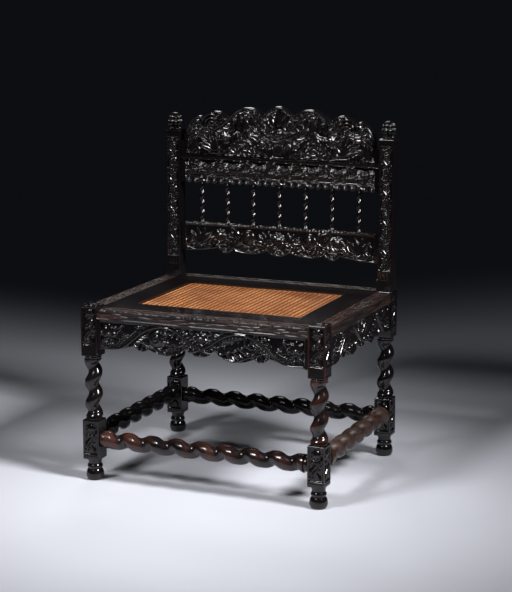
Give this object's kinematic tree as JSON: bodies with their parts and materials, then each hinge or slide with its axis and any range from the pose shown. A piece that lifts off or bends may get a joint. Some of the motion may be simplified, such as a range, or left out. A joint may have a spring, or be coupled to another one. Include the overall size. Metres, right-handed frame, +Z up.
{
  "type": "chair",
  "caption": "Low ebony side chair with spiral-turned legs and stretchers, a flat caned seat, lobed aprons and a spindled back under a carved crest.",
  "frame": {"origin": "on the floor, midway between the four legs", "axes": "+Z up, -Y the way the seat faces, +X to the right of someone facing the chair"},
  "size_m": [0.588, 0.482, 0.8243],
  "materials": {
    "ebony": "polished, near black",
    "worn_ebony": "polished, rubbed brown with wear",
    "cane": "satin, woven cane"
  },
  "bodies": {
    "root": {"apron_back": "ebony", "apron_front": "ebony", "apron_left": "ebony", "apron_peg_back_left": "ebony", "apron_peg_back_right": "ebony", "apron_peg_front_left": "ebony", "apron_peg_front_right": "ebony", "apron_peg_left_back": "ebony", "apron_peg_left_front": "ebony", "apron_peg_right_back": "ebony", "apron_peg_right_front": "ebony", "apron_right": "ebony", "back_post_left": "ebony", "back_post_right": "ebony", "cane_panel": "cane", "crest_rail": "ebony", "crest_rail_peg_left": "ebony", "crest_rail_peg_right": "ebony", "finial_left": "ebony", "finial_right": "ebony", "front_leg_left": "ebony", "front_leg_right": "ebony", "lower_back_rail": "ebony", "lower_back_rail_peg_left": "ebony", "lower_back_rail_peg_right": "ebony", "seat_rail_back": "ebony", "seat_rail_front": "ebony", "seat_rail_left": "ebony", "seat_rail_right": "ebony", "spindle_1": "ebony", "spindle_2": "ebony", "spindle_3": "ebony", "spindle_4": "ebony", "spindle_5": "ebony", "spindle_6": "ebony", "spindle_7": "ebony", "stretcher_back": "worn_ebony", "stretcher_front": "worn_ebony", "stretcher_left": "worn_ebony", "stretcher_right": "worn_ebony", "upper_back_rail": "ebony", "upper_back_rail_peg_left": "ebony", "upper_back_rail_peg_right": "ebony"}
  },
  "joints": []
}
